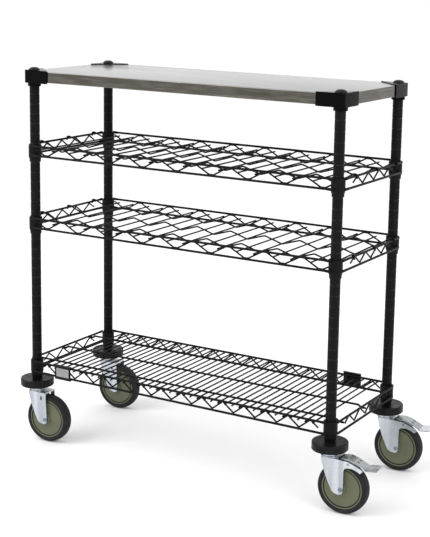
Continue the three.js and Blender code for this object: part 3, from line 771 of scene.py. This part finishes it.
def corner_shape():
    """Corner piece of the front right post: triangular plate, wall round the corner and wedge collar."""
    e, w = CORNER_EDGE, CORNER_WALL
    arc = [math.radians(a) for a in range(-90, 1, 15)]
    centre = e - CORNER_ROUND

    def quarter(radius):
        return [(centre + radius * math.cos(a), -centre + radius * math.sin(a)) for a in arc]

    outside = [(-CORNER_REACH, -e), *quarter(CORNER_ROUND), (e, CORNER_REACH)]
    plate = [*outside, (e - 1.5, CORNER_REACH), (-CORNER_REACH, 1.5 - e)]
    wall = [*outside, (e - w, CORNER_REACH), *quarter(CORNER_ROUND - w)[::-1], (-CORNER_REACH, w - e)]
    shape = Shape()
    shape.add(slab(plate, TOP_Z + 0.3, TOP_Z + 2.1, [circle(0, 0, COLLAR_BORE, 40)]))
    shape.add(slab(wall, TOP_Z - 31, TOP_Z + 1.4))
    ring = [
        (COLLAR_BORE, TOP_Z - 39.5), (COLLAR_RADIUS - 0.6, TOP_Z - 39.5), (COLLAR_RADIUS, TOP_Z - 38.6),
        (COLLAR_RADIUS, TOP_Z + 1), (COLLAR_BORE, TOP_Z + 1),
    ]
    shape.add(lathe(ring, 48, closed=True))
    return shape


# ---------------------------------------------------------------- casters, swivel axis at x = 0

CROWN_DROP = 14
FORK_TOP = low_of("bumper_front_left").z - CROWN_DROP


def leg():
    a = AXLE_Z
    return [
        (-14, FORK_TOP), (-8, a + 52), (-2, a + 33), (7, a + 12), (16, a - 6),
        (22, a - 10.5), (34, a - 13), (41, a - 10.5), (44, a - 5),
    ]


def plain_fork():
    return [*leg(), (41, AXLE_Z + 60), (40, FORK_TOP)]


def braked_fork():
    a = AXLE_Z
    return [
        *leg(), (44.5, a + 47), (46.5, a + 53), (52, a + 56), (66, a + 56.5), (80, a + 51.5),
        (85.5, a + 48), (93, a + 55), (85, a + 59.6), (68, a + 66.5), (52, a + 71.5), (36, a + 72.6),
        (29, FORK_TOP),
    ]


def fork_shape(braked):
    outline = rounded(braked_fork(), 2.2, 4) if braked else rounded(plain_fork(), 3.5, 4)
    right = 29 if braked else 40
    low, high = AXLE_Z + 53, AXLE_Z + 63
    slot = rounded([(24.2, low), (28.8, low), (28.8, high), (24.2, high)], 1)
    holes = [circle(55, AXLE_Z + 65, 2.8, 16)] if braked else [slot]
    shape = Shape()
    for side in (-1, 1):
        low, high = sorted((side * FORK_INNER, side * FORK_OUTER))
        shape.add(slab(outline, low, high, holes), UPRIGHT)
    crown = [(-13.6, -FORK_OUTER + 0.2), (right - 0.4, -FORK_OUTER + 0.2),
             (right - 0.4, FORK_OUTER - 0.2), (-13.6, FORK_OUTER - 0.2)]
    shape.add(slab(rounded(crown, 2), FORK_TOP - 3, FORK_TOP - 0.1, [circle(0, 0, 7)]))
    race = [(7, FORK_TOP - 0.5), (21.6, FORK_TOP - 0.5), (21.4, FORK_TOP + 1.6), (19.2, FORK_TOP + 2.6),
            (19.2, FORK_TOP + 5.2), (20.6, FORK_TOP + 6.2), (20.4, FORK_TOP + 9.6), (7, FORK_TOP + 9.6)]
    shape.add(turned(race, 0.5, 48, closed=True))
    return shape


def axle_shape():
    outer = FORK_OUTER + 1.8
    half = [
        (1.2, outer - 0.5), (2.2, outer), (4, outer), (5.6, outer - 1), (6, FORK_OUTER), (4, FORK_OUTER),
    ]
    profile = [(0, outer - 0.5), *half, *[(r, -y) for r, y in reversed(half)], (0, 0.5 - outer)]
    return Shape().add(turned(profile, 0.4, 24), ON_AXLE)


def stem_shape():
    head = low_of("bumper_front_left").z - 0.5
    profile = [
        (0, FORK_TOP - 7), (7, FORK_TOP - 7), (9, FORK_TOP - 5.4), (9, FORK_TOP - 4.6),
        (6, FORK_TOP - 4.6), (6, head - 3.4), (20, head - 3.4), (21, head - 2.2),
        (21, head), (10.6, head), (10.6, head + 60), (0, head + 60),
    ]
    return Shape().add(turned(profile, 0.5))


def hub_shape():
    face = [(17.5, 4.6), (17.5, 10.4), (16.8, 11), (12.2, 11.6), (11.5, 13), (11.7, 40), (11.7, 44.8)]
    ring = [(12.2, 47.4), (12.9, 48), (13.1, 49.8), (12.6, 50.9), (11, 51.1)]
    groove = [(11.7, 44.8), (9.8, 45.1), (9.8, 47), (12.2, 47.4)]
    shape = Shape()
    for side in (-1, 1):
        # The groove takes the darker copy of the nylon: painted shade.
        for points, look in ((face, 0), (ring, 0), (groove, 1)):
            shape.add(lathe([(r, side * y) for y, r in points], 96), ON_AXLE, look)
    shape.add(lathe([(4.6, 17.5), (4.6, -17.5)], 32), ON_AXLE)
    shape.add(lathe([(51.1, 11), (51.1, -11)], 96), ON_AXLE)
    return shape


def tyre_shape():
    half = [
        (51.1, 12.2), (52, 13.2), (55, 14.7), (58, 14.6), (60.6, 12.8), (62.3, 9.6), (TYRE_RADIUS, 5),
    ]
    profile = half + [(r, -y) for r, y in reversed(half)]
    return Shape().add(turned(profile, 2.5, 112, closed=True), ON_AXLE)


def pedal_shape():
    a = AXLE_Z
    cover = [(36, a + 75), (52, a + 76), (68, a + 71.5), (84, a + 64), (97, a + 57.5)]
    toe = [(94, a + 57.3), (100, a + 57.5), (125.5, a + 59.3)]
    shape = Shape()
    shape.add(ribbon(cover, 1.8, -17, 17, 14), UPRIGHT)
    tab = [(95, -17), (100, -22.5), (126, -22.5), (126, 22.5), (100, 22.5), (95, 17)]
    lean = math.atan2(2.2, 27)
    flat = rounded([(x - 95, y) for x, y in tab], 2.5)
    shape.add(slab(flat, -1.1, 1.1), at(95, 0, a + 57.1) @ Matrix.Rotation(-lean, 4, "Y"), 1)
    shape.add(ribbon(toe, 1.8, -16, 16, 5), UPRIGHT, 1)
    back = [(78, a + 66), (68, a + 70.5), (52, a + 75), (41, a + 74)]
    lug = rounded([(49, a + 62), (60, a + 61), (80, a + 61), *back], 2)
    for low in (-17, 15):
        shape.add(slab(lug, low, low + 2), UPRIGHT)
    shoe = rounded([(66, a + 71), (66, a + 60.5), (74, a + 59.8), (78, a + 66)], 1)
    shape.add(slab(shoe, -9, 9), UPRIGHT)
    pin = [(0, 23), (2.1, 22.7), (2.1, -22.7), (0, -23)]
    shape.add(turned(pin, 0.3, 16), at(55, 0, a + 65) @ Matrix.Rotation(math.pi / 2, 4, "X"))
    for side in (-1, 1):
        dimple = [(0, 0.4), (2.6, 1.5), (3.6, 1.5), (4.6, 0)]
        lie = math.atan2(-7.5, 16)
        spot = at(76, 7.5 * side, a + 68.4) @ Matrix.Rotation(-lie, 4, "Y")
        shape.add(lathe([(r, z) for r, z in dimple], 20), spot, 0)
        # A near-black disc in the middle of each dimple: painted shade.
        shape.add(lathe([(0, 0.9), (2.7, 1.55)], 20), spot, 2)
    return shape


def bumper_shape():
    low, high = low_of("bumper_front_left").z, high_of("bumper_front_left").z
    profile = [
        (13.3, low), (42.4, low), (43.8, low + 1.6), (43.8, high - 2.4), (42.4, high - 0.4), (40, high),
        (39, high - 0.5), (18, high - 0.7), (13.3, high - 0.3),
    ]
    return Shape().add(turned(profile, 0.9, 72, closed=True))


# ---------------------------------------------------------------- assembly


def placed(shape, matrix):
    """Copy of a shape in its place, with the same material numbers."""
    moved = Shape().add((shape.verts, shape.faces), matrix)
    moved.looks = list(shape.looks)
    return moved


cap = cap_shape(POST_TOP + 0.3)
post, corner_piece, bumper, stem = post_shape(), corner_shape(), bumper_shape(), stem_shape()
axle, hub, tyre, pedal = axle_shape(), hub_shape(), tyre_shape(), pedal_shape()
forks = {False: fork_shape(False), True: fork_shape(True)}

for corner, (sx, sy) in CORNERS.items():
    here, caster = at_post(corner), at_caster(corner)
    mirror = here @ Matrix.Diagonal((sx, -sy, 1, 1))
    swivel, wheel = f"swivel_{corner}", f"wheel_{corner}"

    def make(name, shape, place, looks, body, slot, **extra):
        node = f"{name}_{corner}"
        piece(f"{node}_look", placed(shape, place), looks, body, [node], slot, **extra)

    make("post", post, here, [POST_COAT], "frame", "black_powder_coat", crease=20)
    make("post_cap", cap, here, [CAP_BLACK], "frame", "black_cap_plastic")
    make("top_corner", corner_piece, mirror, [CORNER_BLACK], "frame", "black_corner_plastic", bevel=0.7)
    for level in LEVELS:
        below = TOP_SLEEVE_BELOW if level == "top" else SLEEVE_BELOW
        sleeve = sleeve_shape(low_of(f"split_sleeve_{level}_{corner}").z + SLEEVE_BELOW, below)
        make(f"split_sleeve_{level}", sleeve, mirror, [SLEEVE_BLACK], "frame", "black_sleeve_plastic")
    make("bumper", bumper, here, [BUMPER], "frame", "bumper_rubber")
    make("caster_stem", stem, here, [ZINC], "frame", "zinc_plate")
    make("caster_fork", forks[corner in BRAKED], caster, [ZINC], swivel, "zinc_plate", bevel=0.6)
    make("caster_axle", axle, caster, [AXLE_ZINC], swivel, "zinc_plate")
    make("wheel_hub", hub, caster, [HUB, HUB_GROOVE_SHADE], wheel, "hub_nylon")
    make("wheel_tyre", tyre, caster, [TREAD], wheel, "tread_rubber", crease=50)
    if corner in BRAKED:
        pedal_looks = [PEDAL_ZINC, ZINC, PAINTED_RECESS_SHADE]
        make("brake_pedal", pedal, caster, pedal_looks, f"brake_{corner}", "zinc_plate")

centre = at(home.x, home.y, 0)
pan = placed(pan_shape(), centre)
piece("work_top_look", pan, [STEEL], "frame", ["work_top_pan"], "stainless_steel")
for name, level, shelf in (
    ("base_wire_shelf", "base", base_shelf()),
    ("cradle_shelf_lower", "lower", cradle_shelf()),
    ("cradle_shelf_upper", "upper", cradle_shelf()),
):
    lifted = placed(shelf, centre @ at(0, 0, LEVELS[level]))
    piece(f"{name}_look", lifted, [COAT], "frame", [name], "black_powder_coat", crease=50)
for name, half_turn in (("tag_holder_front", 0), ("tag_holder_back", math.pi)):
    spot = at(middle_of(name).x, home.y, LEVELS["base"]) @ Matrix.Rotation(half_turn, 4, "Z")
    tag, looks = placed(tag_shape(), spot), [TAG_BLACK, LABEL]
    piece(f"{name}_look", tag, looks, "frame", [name], "tag_plastic", bevel=0.3)

# ---------------------------------------------------------------- floor, light and camera


FLOOR_RADIUS = 60000
FLOOR_DROP = 0.5  # the floor lies just under the tyres
WORLD_STRENGTH = 1.15
SENSOR_WIDTH = 36


def floor():
    verts, faces = lathe([(0, -FLOOR_DROP), (FLOOR_RADIUS, -FLOOR_DROP)], 64)
    mesh = bpy.data.meshes.new("floor")
    mesh.from_pydata([v * MM for v in verts], [], faces)
    look = Look("pale_floor", specular=0.2)
    look.colour(look.ramp(look.noise(0.6), [(0.3, grey(0.88)), (0.7, grey(0.9))]))
    look.shader.inputs["Roughness"].default_value = 0.85
    mesh.materials.append(look.material)
    obj = bpy.data.objects.new("floor", mesh)
    bpy.context.scene.collection.objects.link(obj)


def lamp(name, place, target, size, power):
    light = bpy.data.lights.new(name, "AREA")
    light.shape = "DISK"
    light.size = size
    light.energy = power
    obj = bpy.data.objects.new(name, light)
    obj.location = place
    obj.rotation_euler = (Vector(target) - Vector(place)).to_track_quat("-Z", "Y").to_euler()
    bpy.context.scene.collection.objects.link(obj)


floor()
world = bpy.data.worlds.new("studio")
world.use_nodes = True
world.node_tree.nodes["Background"].inputs["Color"].default_value = (1, 1, 1, 1)
world.node_tree.nodes["Background"].inputs["Strength"].default_value = WORLD_STRENGTH
bpy.context.scene.world = world
lamp("key", (-2.6, -3.0, 3.4), (0, 0, 0.5), 3.2, 110)
lamp("fill", (3.4, -1.2, 2.2), (0, 0, 0.5), 2.6, 45)
bpy.context.scene.view_settings.view_transform = "Standard"


def camera(azimuth, elevation, roll, distance, target, lens, shift):
    a, e, r = (math.radians(v) for v in (azimuth, elevation, roll))
    back = Vector((math.sin(a) * math.cos(e), -math.cos(a) * math.cos(e), math.sin(e)))
    right = Vector((math.cos(a), math.sin(a), 0))
    up = back.cross(right)
    across = right * math.cos(r) + up * math.sin(r)
    upward = up * math.cos(r) - right * math.sin(r)
    data = bpy.data.cameras.new("camera")
    data.lens, data.sensor_width = lens, SENSOR_WIDTH
    data.shift_x, data.shift_y = shift
    obj = bpy.data.objects.new("camera", data)
    turn = Matrix((across, upward, back)).transposed().to_4x4()
    obj.matrix_world = Matrix.Translation(Vector(target) + back * distance) @ turn
    bpy.context.scene.collection.objects.link(obj)
    bpy.context.scene.camera = obj


camera(
    azimuth=29.46,
    elevation=10.25,
    roll=1.22,
    distance=3.2603,
    target=(home.x * MM + 0.1505, home.y * MM, LEVELS["base"] * MM + 0.4725),
    lens=87.75,
    shift=(-0.0875, -0.1276),
)
